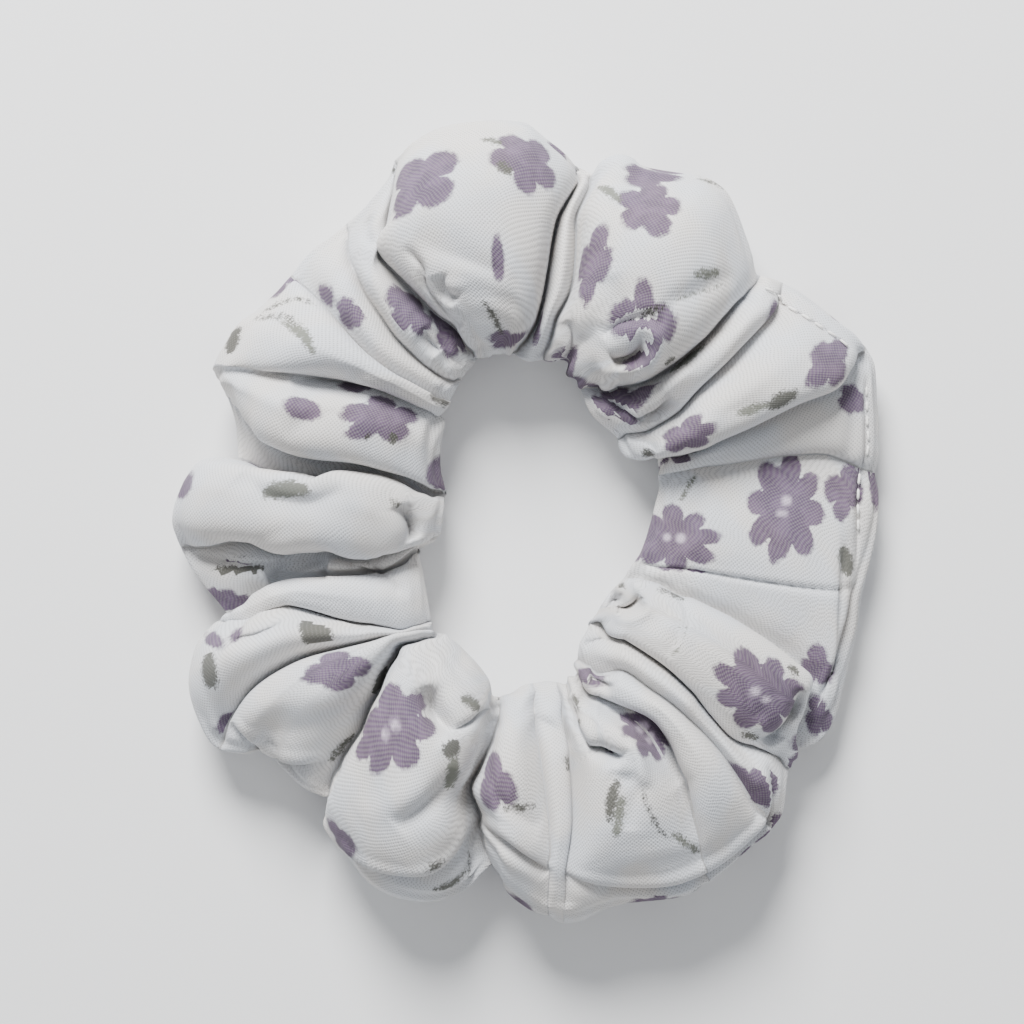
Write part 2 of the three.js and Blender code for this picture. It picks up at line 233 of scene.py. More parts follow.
CREASES = [Crease(*row) for row in (
    # top gather and the pleat beside it
    ([(-18.2, 40.3), (-15.7, 38), (-15, 34.8), (-12.7, 31.8), (-10, 29)], 2.2, 0.9, 0.6, 0.8),
    ([(-12.8, 36.4), (-12.2, 34.6), (-10.2, 33)], 3, 0.9, 1.1, 1),
    ([(-17, 41.5), (-12, 39.4), (-7, 37.6), (-3, 36.5)], 0.9, 3, 1.6),
    ([(-15.8, 28.8), (-14.4, 27.6), (-13, 26)], 3.6, 1, 1, 1),
    ([(-13.4, 30.2), (-12.2, 27.4), (-12, 25.2), (-9.4, 23.8)], 1.5, 0.7, 0.9),
    ([(-23.8, 45.5), (-24, 43), (-22.9, 40.6)], 1.5, 0.8, 0.7),
    ([(-26, 38.5), (-23, 35), (-20.6, 30.5), (-17, 26.6)], -0.9, 1.3, 1.3),
    # upper right gather
    ([(12.6, 23.9), (14.6, 24.8), (17, 26)], 6, 1.1, 1.3, 1.3),
    ([(10.3, 22.2), (13, 21.9), (17, 22.5), (19, 24.6), (18.9, 27), (16.6, 28.6),
      (13.6, 27.8), (11.5, 25.4)], -1.5, 1, 1.1),
    ([(19.8, 28.8), (17.4, 30.2), (13.8, 29.4), (11.3, 27.2)], 1.6, 1, 1.2, -0.8),
    ([(5.9, 30), (6.4, 27.4), (5.6, 24.4)], 2, 0.6, 0.8, -0.8),
    ([(30.5, 37), (24, 33.8), (19, 31.4)], 1.3, 2.6, 1.2, 0.6),
    ([(12, 36), (13.2, 32.5), (12.2, 29.6)], 0.9, 1.6, 2.4),
    ([(20.5, 51), (15, 50.4), (10.5, 51.2)], 0.7, 1, 1.8),
    # slim gather and topstitched gather
    ([(16.2, 15.4), (18.6, 16.8), (21.2, 18.6)], 5, 1, 1.2, 1.2),
    ([(10.2, 19.4), (13, 18), (15.6, 16.2), (17.4, 14.8)], 1.7, 0.7, 1, 0.8),
    ([(12, 15.2), (14.4, 17.6), (16.6, 20)], 1.2, 0.8, 0.8),
    ([(16.6, 19.4), (20, 19.8), (24, 23)], -0.9, 1.1, 1.1),
    ([(19.5, 10.4), (17.2, 11.8), (15, 12)], 1.3, 0.7, 0.9, 0.7),
    ([(38.3, 33), (33, 30), (29, 24.8), (25.5, 20.6)], -0.8, 1.3, 1.2),
    ([(36, 17.6), (30.5, 16.6), (26, 15)], 0.6, 2, 2.4),
    # left side
    ([(-19.4, 2.6), (-18.4, 0), (-17.6, -2.6)], 5, 1.2, 1.6, -1.5),
    ([(-42, 7.6), (-38.5, 4), (-32.5, 3), (-27, 5)], 1.5, 1.2, 2.4),
    ([(-36, 12.6), (-31, 15.8), (-24.5, 15.6)], 0.8, 1.6, 2.2),
    ([(-35, 20.6), (-30, 21.8), (-24, 20.8)], 2.2, 1.1, 2.8),
    ([(-52, -4.4), (-47, -5.6), (-42, -6.4), (-38, -5.2), (-34, -4)], 2.2, 1.2, 0.8, 0.8),
    ([(-39.6, -8), (-34.5, -6), (-30.6, -5.8)], 7, 1.9, 1.7, 0.9),
    ([(-29.8, -4.6), (-30.4, -8.6)], 3, 0.5, 1.5, 0.7),
    ([(-29.5, -5), (-26, -6.2), (-22, -7.9), (-18.4, -10.6)], 2, 0.8, 1, 0.8),
    ([(-25, -5), (-21, -6.8), (-17, -6)], 1.6, 0.6, 0.9, 0.7),
    ([(-45.5, -17.8), (-41.5, -16.4), (-38, -15.2), (-36, -14.6)], 1.8, 0.7, 1.2, 0.8),
    ([(-37, -12.4), (-31, -13.5), (-24, -16)], 1.4, 0.6, 1.2, 0.7),
    ([(-49.5, -22), (-47.8, -27), (-48, -31)], 0.9, 2, 2),
    # lower left
    ([(-44.6, -30), (-42, -32.4), (-39.4, -34.9), (-35, -36), (-30.6, -35.7)], 3.4, 0.7, 1.6, 1.2),
    ([(-43.6, -28.4), (-39, -27.6), (-33, -25.8), (-27, -24.8)], -0.7, 2.2, 2.2),
    ([(-40, -30.4), (-34.5, -30.8), (-28, -28.6)], 0.7, 2, 2.4),
    ([(-15.2, -24.4), (-14.2, -28.4), (-11.6, -31.4)], 5, 1.6, 2.2, -1),
    ([(-11.8, -31.4), (-9, -29.4), (-6.6, -28), (-4.6, -28.6)], 2.4, 0.9, 0.6, 0.9),
    ([(-18.2, -18.4), (-15, -20), (-14, -22.8)], 1, 1.4, 1.6),
    ([(-19.5, -44.6), (-15.4, -41.4), (-10.8, -36.6)], 2.2, 1.8, 2.2, 0.8),
    ([(-25, -43.6), (-20.6, -41.4), (-16, -37.4)], -0.5, 2, 2),
    ([(-28.6, -49.4), (-25, -51.3), (-21, -52.2), (-17, -52.3), (-13.6, -51.4),
      (-10.6, -49), (-8.4, -46)], 2.2, 0.6, 1.4, 0.9),
    ([(-8.6, -46.4), (-8, -49.4), (-8.6, -53)], 1.6, 1, 0.8),
    # bottom
    ([(-7.4, -44.6), (-3.4, -46.6), (0, -49.2), (3, -52)], 3, 0.7, 1.2, 1),
    ([(-5.6, -40), (-1.4, -43.4), (2, -45)], 0.9, 1.4, 2),
    ([(5.4, -52.2), (10, -53.4), (15, -54), (20, -53.9), (25, -52.7), (29, -50.4),
      (33, -47.4), (35.6, -44.8), (36.3, -41), (35.4, -36)], 3, 0.7, 1.2, 1.3),
    ([(8.8, -33), (11.4, -33), (14, -34.5)], 6, 1.2, 1.1, 1.4),
    ([(8.4, -30.6), (12, -30.2), (14.6, -31.5), (16.3, -34), (17.2, -38.6)], -1.4, 1.1, 1.2),
    ([(10.5, -27.6), (15, -28.6), (18, -31.4), (20, -35), (22.4, -38.6)], 3, 1.3, 1.6, 1),
    ([(6.4, -26), (7.6, -30), (9, -33.6)], 1.8, 0.8, 0.9, 0.8),
    ([(17.2, -38), (15.4, -40.5), (14.8, -45)], 0.8, 1.6, 2.2),
    ([(0.9, -29), (3.4, -30.6), (5.6, -33.6)], 0.9, 0.9, 1.3),
    ([(12, -36.4), (14, -37.4), (16.2, -37)], 0.9, 0.8, 1.2),
    # seams on the closing part
    ([(15.2, -6.3), (18, -6.8), (25, -7.3), (35, -8.7), (45, -9.8), (52, -9.3)], 1, 0.35, 0.5, 0.35),
    ([(53, 24), (51.4, 20), (51.3, 14), (51, 9), (50, 5), (50, -2), (49.8, -9)],
     0.9, 0.5, 0.35, 0.3),
    ([(49.8, -9.5), (48.8, -14), (47.6, -19), (46.4, -23), (44.6, -27), (42.6, -31)],
     1.8, 0.5, 0.5, 0.7),
    ([(35, 35.6), (37.5, 34), (38.6, 32.6), (44, 29), (48.6, 25.6)], 0.9, 0.4, 0.4, 0.3),
    # lapping fold and the strips under it
    ([(13, -13.1), (14.9, -12.4), (16.6, -11.4)], 6, 1, 1, 1.2),
    ([(17.6, -10.8), (17.4, -13.2), (15, -14.4), (12.6, -14)], -0.8, 0.9, 0.9),
    ([(19.8, -9.6), (22.3, -12), (22.9, -14.6), (22.2, -17.6), (20.8, -20)], 1.1, 0.9, 1.3, 0.6),
    ([(12, -12.8), (13.2, -10.4)], 4, 0.8, 0.8),
    ([(9, -23.4), (11, -23.8), (12.8, -24.8)], 4, 1, 1.2, 1),
    ([(8, -18), (11, -17.4), (14, -18.4)], 1.6, 0.9, 1.2, 0.8),
    ([(40.8, -25), (39.6, -28), (37.6, -31), (35, -33)], 6, 1.2, 1.6, -1.4),
    ([(39.6, -29), (38.2, -30.6), (37.6, -32)], -3, 0.9, 0.9),
    ([(24, -27), (28, -30.8), (32, -34.6), (34.4, -38)], 1.3, 0.8, 1.1, 0.7),
)]

ROWS_ABOVE = 150  # from the hole over the top to the outer edge
ROWS_BELOW = 80
COLUMN_WIDTH = 0.42  # millimetres
COLUMN_LIMITS = (14, 110)  # fewest and most columns in a gather
FULLNESS = 1.25  # a gather's cloth against the straight way between its valleys
LINE_POINTS = 200  # along a valley or an outline
ROUNDNESS = 2.5  # of the tube's section: 2 is round, more is squarer
FOOT_SINK = 1.4  # how much of the round underside the table presses flat
WEAVE_PITCH = 0.62
CLOTH_THICKNESS = 0.4
PRINT_SEED = 7
UNDER_TRIES = 400  # places tried for the flowers on the underside
UNDER_SIZE = (4.4, 6.4)
UNDER_GAP = 13
FLOWER_FACING = 0  # how alike a point has to face: the cosine between the two directions
LEAF_FACING = 0.5
LEAST_FORESHORTENED = 0.55  # the print on a steep side is drawn out no further than this
OUTSIDE = 9  # millimetres, stands for anywhere well outside the print
GATHER_APART = 97  # keeps the cloth texture of two gathers different
STITCH_PITCH = 2.1
STITCH_RADIUS = 0.2
STITCH_ARCH = 1.7  # how far a topstitch's middle rises, in its own radii
STITCH_SINK = 0.8  # how far its ends sink into the cloth, in its own radii
FIND_RADIUS = 0.45  # how far round a place the cloth's height is looked for
BAND_THICKNESS = 1.0
BAND_POINTS = 400
BAND_ROUNDS = 60  # of smoothing, which takes the gathers out of the band's path
BAND_CLEARANCE = 0.9  # between the band's path and the lining, above and below
BAND_JOIN = (24, 9)  # where the band starts
BAND_LAP = 24  # points of the band that lie on its own start
LAP_LIFT = 1.3  # how far they stand off it, in the band's thicknesses
LEAST_UPRIGHT = 0.2  # 1 stands on its edge, and where the tube is shallow the band leans
ZIGZAGS = 2
ZIGZAG_MARGIN = 3  # points of the lap left unsewn at each end
ZIGZAG_EDGE = 1.4  # from the zigzag's turns to the band's edges
RIB_PITCH = 0.7
KNIT_PITCH = 0.9
BAND_INSET = 6.6  # from the edge of the hole to the middle of the elastic
ROOM_RADIUS = 2  # how far round a point the space inside the tube is looked at
ROOM_POINTS = 6  # how far along a path a low place counts
ROOM_ROUNDS = 12
HIGHEST = 20
RELAX_STEPS = (4, 3)  # columns and rows of the grid in one of the simulated cloth's
RELAX_FRAMES = 7
RELAX_SMOOTHING = 2
RELAX_SHARE = 0.75
RELAX_CAP = 2.5  # millimetres
COTTON = {
    "quality": 5, "mass": 0.2, "tension_stiffness": 20, "compression_stiffness": 20,
    "shear_stiffness": 6, "bending_stiffness": 9, "air_damping": 2, "shrink_min": -0.02,
}
CLOTH_GAP = 0.5 * MM  # kept between two layers as the cloth settles
GOAL_WEIGHT = 0.6
SEAM_DEPTH = 1.6  # of the closing seam's thread under the cloth
SEAM_LOWEST = 0.85  # where that thread runs under the elastic
SEAM_POINTS = 300
SEAM_ROUNDS = 40
SEAM_INSET = 4.5  # from the outer edge to the long seam's thread
END_SEAM_POINTS = 60
END_SEAM_SEWN = slice(11, -7)  # the closing seam's line between the tube's two edges
END_SEAM_LOOP = 140
END_SEAM = [(15.5, -6.4), (18, -6.8), (25, -7.3), (35, -8.7), (45, -9.8), (51.4, -9.3)]
TOPSTITCH_RUNS = [
    [(35.3, 35), (37.5, 33.9), (38.6, 32.5), (41, 31), (44, 29), (46.5, 27.4), (48.3, 25.8)],
    [(51.2, 20.5), (51.3, 15), (51.5, 12), (51.2, 9.4)],
    [(50.3, 7.4), (50, 5), (49.9, 2), (50, -2)],
]
CLOTH_COOL = (0.66, 0.68, 0.715, 1)
CLOTH_WARM = (0.71, 0.685, 0.66, 1)
# painted shade: the grey that the gaps between the cloth's threads are darkened towards
THREAD_GAP_SHADE = (0.2, 0.19, 0.18, 1)
LILAC_DEEP = (0.062, 0.028, 0.075, 1)
LILAC_PALE = (0.112, 0.062, 0.13, 1)
EYE = (0.62, 0.52, 0.64, 1)
LEAF_DARK = (0.032, 0.032, 0.022, 1)
LEAF_PALE = (0.17, 0.18, 0.14, 1)
LAP_REACH = 2.6  # how far from its line a lapping crease pulls the cloth, in its own widths
LAP_RISE = 0.35
OVERHANG_SHARE = 0.42  # of a gather's width, next to the valley that it laps over
CREASE_REACH = 4.5  # how far from its line a crease acts, in its own widths
LAP_FADE = 0.12  # share of the tube's width over which laps die out towards the outer edge
LOWEST_VALLEY = 7.4  # the elastic under the cloth holds its folds up
FLOOR_SHARE = 0.42  # where the tube's two edges lie, as a share of the gather's crown


def ease(x):
    """A circle's sine or cosine, squared up towards a box's."""
    return np.sign(x) * np.abs(x) ** (2 / ROUNDNESS)


def smooth_path(points, count):
    """count points evenly along a smooth curve through the points."""
    p = np.array(points, float)
    p = np.vstack([2 * p[0] - p[1], p, 2 * p[-1] - p[-2]])
    t = np.linspace(0, 1, 12, endpoint=False)[:, None]
    pieces = []
    for a, b, c, d in zip(p, p[1:], p[2:], p[3:]):
        pieces.append(
            b + 0.5 * t * (c - a) + t**2 * (a - 2.5 * b + 2 * c - 0.5 * d)
            + 0.5 * t**3 * (3 * (b - c) + d - a)
        )
    pieces.append(p[-2:-1])
    curve = np.vstack(pieces)
    return at_shares(curve, np.linspace(0, 1, count))


def at_shares(curve, shares):
    """The points at these shares of a polyline's length."""
    steps = np.linalg.norm(np.diff(curve, axis=0), axis=1)
    length = np.concatenate([[0], np.cumsum(steps)])
    return np.stack(
        [np.interp(shares * length[-1], length, curve[:, k]) for k in range(curve.shape[1])], axis=-1
    )


def through(values, t):
    """The smooth curve through three values at 0, a half and 1."""
    a, b, c = values
    return a * (1 - t) * (1 - 2 * t) + 4 * b * t * (1 - t) + c * t * (2 * t - 1)


def steepness(lap):
    """How gently a gather rises from a valley: steeply where it laps over, gently where lapped."""
    return 0.75 - 0.25 * min(lap, 1) if lap >= 0 else 0.75 + 0.55 * min(-lap / 1.5, 1)


def line_field(points, line):
    """For each point, how far left of a line it lies in plan, the share along, and the way left."""
    path = smooth_path(line, 8 * len(line))
    best = np.full(len(points), np.inf)
    side = np.zeros(len(points))
    share = np.zeros(len(points))
    normal = np.zeros((len(points), 2))
    for i, (a, b) in enumerate(zip(path, path[1:])):
        along = b - a
        length = np.linalg.norm(along)
        offset = points - a
        s = np.clip(offset @ along / length**2, 0, 1)
        distance = np.linalg.norm(offset - s[:, None] * along, axis=1)
        nearer = distance < best
        best = np.where(nearer, distance, best)
        cross = along[0] * offset[:, 1] - along[1] * offset[:, 0]
        side = np.where(nearer, np.sign(cross), side)
        share = np.where(nearer, (i + s) / (len(path) - 1), share)
        normal[nearer] = (-along[1] / length, along[0] / length)
    return best * side, share, normal


def fold(points, crease):
    """How a crease moves each point: down at the line, and sideways and up where a side laps."""
    reach = CREASE_REACH * max(crease.left, crease.right)
    corners = np.array(crease.line, float)
    low, high = corners.min(0) - reach, corners.max(0) + reach
    near = np.all((points[:, :2] > low) & (points[:, :2] < high), axis=1)
    moved = np.zeros(points.shape)
    if not near.any():
        return moved
    distance, share, normal = line_field(points[near, :2], crease.line)
    width = np.where(distance > 0, crease.left, crease.right)
    across = np.abs(distance) / width
    profile = np.exp(-(across**2)) if crease.depth < 0 else np.exp(-(across**1.4))
    taper = np.clip(np.sin(math.pi * share), 0, 1) ** 0.6
    moved[near, 2] = -crease.depth * profile * taper
    lapping = (distance * crease.lap > 0) * np.sin(math.pi * np.clip(across / LAP_REACH, 0, 1)) ** 0.8
    lapping = lapping * taper * crease.lap
    moved[near, :2] = -normal * lapping[:, None]
    moved[near, 2] += LAP_RISE * np.abs(lapping)
    return moved


class Cover:
    """The cover's skin as a closed grid of points: columns round the ring, rows round the tube."""

    def __init__(self):
        above = np.linspace(0, 0.5, ROWS_ABOVE, endpoint=False)
        below = np.linspace(0.5, 1, ROWS_BELOW, endpoint=False)
        self.turn = 2 * math.pi * np.concatenate([above, below])
        self.across = (1 - ease(np.cos(self.turn))) / 2
        patches = []
        self.gather = []
        for k, gather in enumerate(GATHERS):
            patch = self.patch(k)
            patches.append(patch)
            self.gather += [k] * len(patch)
        self.points = np.concatenate(patches)
        self.gather = np.array(self.gather)
        self.crease()
        self.relax()

    def crease(self):
        """Presses the creases into the upper side."""
        upper = np.clip(np.sin(self.turn) * 3, 0, 1)
        chosen = upper > 0
        points = self.points[:, chosen].reshape(-1, 3)
        moved = sum(fold(points, crease) for crease in CREASES)
        moved = moved.reshape(len(self.points), -1, 3) * upper[chosen][:, None]
        z = self.points[:, chosen, 2]
        self.points[:, chosen] += moved
        lowest = np.minimum(z, LOWEST_VALLEY)
        self.points[:, chosen, 2] = np.maximum(self.points[:, chosen, 2], lowest)

    def patch(self, k):
        """The columns of one gather, from its own valley up to the next one's."""
        this, following = GATHERS[k], GATHERS[(k + 1) % len(GATHERS)]
        first, last = (smooth_path(g.valley, LINE_POINTS) for g in (this, following))
        middle = LINE_POINTS // 2
        width = np.linalg.norm(last[middle] - first[middle]) * FULLNESS
        count = int(np.clip(width / COLUMN_WIDTH, *COLUMN_LIMITS))
        s = (np.arange(count) / count)[:, None]
        lateral = 0.5 * s + 0.25 * (1 - np.cos(math.pi * s))
        t = self.across[None, :]

        hole = smooth_path([first[0], *this.hole, last[0]], LINE_POINTS)
        edge = smooth_path([first[-1], *this.edge, last[-1]], LINE_POINTS)
        line_a = at_shares(first, self.across)[None]
        line_b = at_shares(last, self.across)[None]
        w, tt = lateral[..., None], t[..., None]
        flat = line_a * (1 - w) + line_b * w
        rims = []
        for rim, end in ((hole, 0), (edge, -1)):
            straight = first[end] * (1 - lateral) + last[end] * lateral
            rims.append(at_shares(rim, lateral[:, 0]) - straight)
        flat = flat + (1 - tt) * rims[0][:, None] + tt * rims[1][:, None]

        rise_a = np.sin(math.pi / 2 * np.minimum(1, 2 * s)) ** steepness(this.lap)
        rise_b = np.sin(math.pi / 2 * np.minimum(1, 2 - 2 * s)) ** steepness(-following.lap)
        rise = rise_a * rise_b
        floor = through(this.floor, t) * (1 - s) + through(following.floor, t) * s
        floor = np.maximum(floor, LOWEST_VALLEY)
        top = floor + (through(this.crown, t) - floor) * rise
        foot = -FOOT_SINK + 0.25 * floor * (1 - rise)
        middle = FLOOR_SHARE * self.edge_height(k, s)
        swing = ease(np.sin(self.turn))[None]
        z = np.where(swing > 0, middle + (top - middle) * swing, middle + (middle - foot) * swing)

        sideways = np.gradient(flat, axis=0)
        sideways /= np.linalg.norm(sideways, axis=2, keepdims=True) + 1e-9
        reach = np.clip(swing, 0, 1) ** 0.5 * np.clip((1 - t) / LAP_FADE, 0, 1)
        lean = np.zeros_like(z)
        if this.lap > 0:
            lean -= this.lap * self.overhang(s) * reach
        if following.lap < 0:
            lean += -following.lap * self.overhang(1 - s) * reach
        flat = flat + sideways * lean[..., None]
        return np.concatenate([flat, np.maximum(z, 0)[..., None]], axis=2)

    @staticmethod
    def overhang(s):
        """How a lapping gather's side leans out over the valley at s = 0."""
        return np.sin(math.pi * np.clip(s / OVERHANG_SHARE, 0, 1)) ** 0.8 * (s < OVERHANG_SHARE)

    @staticmethod
    def edge_height(k, s):
        """A smooth run of the gathers' crowns round the ring, for the height of the tube's edges."""
        n = len(GATHERS)
        here, before, after = [GATHERS[j % n].crown[1] for j in (k, k - 1, k + 1)]
        start, end = (here + before) / 2, (here + after) / 2
        return np.where(s < 0.5, start + (here - start) * 2 * s, here + (end - here) * (2 * s - 1))

    def relax(self):
        """Lets the cloth settle: a short cloth simulation on a coarse copy moves the fine grid."""
        picks = [
            np.unique(np.linspace(0, n, n // step + 1).astype(int))[:-1]
            for n, step in zip(self.points.shape, RELAX_STEPS)
        ]
        coarse = self.points[np.ix_(*picks)]
        piece = new_object("relaxing_cloth", grid_mesh([coarse]))
        cloth = piece.modifiers.new("cloth", "CLOTH")
        for name, value in COTTON.items():
            setattr(cloth.settings, name, value)
        cloth.settings.effector_weights.gravity = 0
        cloth.collision_settings.use_self_collision = True
        cloth.collision_settings.self_distance_min = CLOTH_GAP
        goal = piece.vertex_groups.new(name="goal")
        goal.add(list(range(len(piece.data.vertices))), GOAL_WEIGHT, "REPLACE")
        cloth.settings.vertex_group_mass = "goal"
        cloth.point_cache.frame_end = RELAX_FRAMES + 1
        for frame_number in range(1, RELAX_FRAMES + 1):
            bpy.context.scene.frame_set(frame_number)
        settled = piece.evaluated_get(bpy.context.evaluated_depsgraph_get())
        moved = read_points(settled.data).reshape(coarse.shape) / MM - coarse
        bpy.context.scene.frame_set(1)
        bpy.data.objects.remove(piece)
        for _ in range(RELAX_SMOOTHING):
            moved = (2 * moved + np.roll(moved, 1, 0) + np.roll(moved, -1, 0)) / 4
            moved = (2 * moved + np.roll(moved, 1, 1) + np.roll(moved, -1, 1)) / 4
        length = np.linalg.norm(moved, axis=2, keepdims=True)
        moved *= RELAX_SHARE * np.minimum(1, RELAX_CAP / np.maximum(length, 1e-9))
        self.points += spread(moved, picks, self.points.shape)
        self.points[..., 2] = np.maximum(self.points[..., 2], 0)

    def normals(self):
        along = np.roll(self.points, -1, 0) - np.roll(self.points, 1, 0)
        around = np.roll(self.points, -1, 1) - np.roll(self.points, 1, 1)
        n = np.cross(around, along)
        return n / (np.linalg.norm(n, axis=2, keepdims=True) + 1e-9)

    def charts(self):
        """Where each point lies on its gather's cloth, in millimetres along and round the tube."""
        p = self.points
        a = np.zeros(p.shape[:2])
        for k in range(len(GATHERS)):
            own = np.flatnonzero(self.gather == k)
            steps = np.linalg.norm(np.diff(p[own], axis=0), axis=2)
            run = np.concatenate([np.zeros((1, p.shape[1])), np.cumsum(steps, axis=0)])
            a[own] = run - run[len(own) // 2]
        steps = np.linalg.norm(np.diff(p, axis=1), axis=2)
        run = np.concatenate([np.zeros((len(p), 1)), np.cumsum(steps, axis=1)], axis=1)
        return a, run - run[:, ROWS_ABOVE : ROWS_ABOVE + 1]


def spread(field, picks, shape):
    """A coarse field on a closed grid, interpolated to the full grid."""
    for axis in (0, 1):
        known = np.append(picks[axis], shape[axis])
        wrapped = np.concatenate([field, np.take(field, [0], axis)], axis)
        place = np.arange(shape[axis])
        after = np.searchsorted(known, place, side="right")
        start, end = known[after - 1], known[after]
        share = (place - start) / (end - start)
        share = share.reshape((-1, 1, 1) if axis == 0 else (1, -1, 1))
        before_values = np.take(wrapped, after - 1, axis)
        field = before_values + share * (np.take(wrapped, after, axis) - before_values)
    return field


def read_points(mesh):
    co = np.empty(len(mesh.vertices) * 3, np.float32)
    mesh.vertices.foreach_get("co", co)
    return co.reshape(-1, 3).astype(float)


def mesh_from(points, faces):
    """A smooth mesh from points in millimetres and faces that all have as many corners."""
    faces = np.asarray(faces, dtype=np.int32)
    count, corners = faces.shape
    mesh = bpy.data.meshes.new("piece")
    mesh.vertices.add(len(points))
    mesh.vertices.foreach_set("co", (np.asarray(points) * MM).astype(np.float32).ravel())
    mesh.loops.add(faces.size)
    mesh.loops.foreach_set("vertex_index", faces.ravel())
    mesh.polygons.add(count)
    mesh.polygons.foreach_set("loop_start", np.arange(0, faces.size, corners, dtype=np.int32))
    mesh.polygons.foreach_set("loop_total", np.full(count, corners, dtype=np.int32))
    mesh.update(calc_edges=True)
    mesh.polygons.foreach_set("use_smooth", np.ones(count, bool))
    return mesh


def grid_quads(columns, rows, first=0, closed=(True, True)):
    i, j = np.meshgrid(
        np.arange(columns - (not closed[0])), np.arange(rows - (not closed[1])), indexing="ij"
    )
    corners = [(i, j), (i, j + 1), (i + 1, j + 1), (i + 1, j)]
    quads = [first + (a % columns) * rows + (b % rows) for a, b in corners]
    return np.stack(quads, axis=-1).reshape(-1, 4)


def grid_mesh(grids):
    """A mesh of grids that close on themselves both ways. Every second one faces the other way."""
    points, faces, first = [], [], 0
    for number, grid in enumerate(grids):
        quads = grid_quads(*grid.shape[:2], first)
        faces.append(quads[:, ::-1] if number % 2 else quads)
        points.append(grid.reshape(-1, 3))
        first += len(points[-1])
    return mesh_from(np.concatenate(points), np.concatenate(faces))


def new_object(name, mesh):
    obj = bpy.data.objects.new(name, mesh)
    mesh.name = name
    bpy.context.collection.objects.link(obj)
    return obj


# ---------------------------------------------------------------- the print

# A flower: its centre, half its length and width, its long axis's angle, its petals (0 for a
# single petal), and 1 where pale eyes show at its centre.
Flower = namedtuple("Flower", "x y length width angle petals eyes")

FLOWERS = [Flower(*row) for row in (
    (-15.8, 50.2, 6.6, 4.6, 50, 4, 0), (-0.4, 53.4, 6, 4.4, 110, 5, 0), (4.6, 55.6, 2.2, 1, 140, 0, 0),
    (-4.3, 38.7, 3.3, 1.1, 95, 0, 0), (-30.2, 33.6, 1.9, 1.2, 140, 0, 0),
    (-26.9, 30.6, 3.1, 2, 115, 3, 0), (-17.2, 31.8, 4.2, 3, 150, 4, 0),
    (-11.6, 28.4, 4.4, 2.2, 125, 3, 0), (-25.6, 20.3, 2.6, 1.4, 165, 0, 0),
    (-21.6, 15.6, 5.8, 3.9, 20, 5, 0), (-33.2, 16.6, 3.3, 1.7, 165, 0, 0),
    (-51.4, 5.2, 2.6, 1.3, 60, 0, 0), (-3.2, 27.2, 3, 1.7, 20, 3, 0), (18.4, 51.4, 5.2, 2.2, 5, 3, 0),
    (17.6, 46.4, 5.4, 4.2, 5, 5, 0), (9.4, 38.2, 6.2, 2.6, 75, 4, 0), (16.6, 29.4, 5.8, 3, 15, 5, 0),
    (12.8, 17.6, 4.6, 3, 160, 5, 0), (23.6, 12.8, 4.8, 2.9, 15, 5, 0), (44.6, 24, 4.6, 3.6, 45, 4, 0),
    (48.8, 18.6, 3, 2.2, 100, 3, 0), (36.4, 31.2, 2.2, 0.7, 30, 0, 0), (1.6, 29, 2.6, 0.8, 80, 0, 0),
    (38.6, 2.4, 8.2, 6.4, 80, 8, 1), (48, 4.4, 5, 3.2, 75, 4, 0), (52.6, 4.6, 3, 0.8, 90, 0, 0),
    (22, -2.6, 7, 5.2, 5, 8, 1), (34.4, -25.6, 8, 6.2, 150, 8, 1), (43.6, -21.8, 3.4, 2.6, 80, 3, 0),
    (44, -29.6, 3.4, 2.4, 100, 3, 0), (17.2, -31.2, 5.2, 3.6, 140, 7, 1),
    (33.4, -39.4, 4.8, 3, 135, 4, 0), (37, -46, 2.4, 1.2, 50, 0, 0), (8.8, -22.6, 3, 1.7, 150, 3, 0),
    (-1, -57.4, 2.6, 1.2, 140, 0, 0), (-4.9, -38.2, 4.6, 3.2, 110, 3, 0),
    (-20.3, -30.4, 8, 5.8, 50, 7, 1), (-28.2, -21.4, 5.4, 3.4, 10, 4, 0),
    (-27.6, -47.4, 4, 1.9, 145, 3, 0), (-47.4, -17.4, 2.4, 1.2, 140, 0, 0),
    (-43.6, -16.6, 1.2, 1, 0, 0, 0), (-45, -11.8, 3.4, 1.9, 0, 3, 0),
    (-45.2, -30.2, 2.4, 1.2, 50, 0, 0),
)]

# A leaf or stem: from and to, half its width, how far its middle bows to the left, and how
# light it is, from 0 to 1.
Leaf = namedtuple("Leaf", "x0 y0 x1 y1 width bow light")

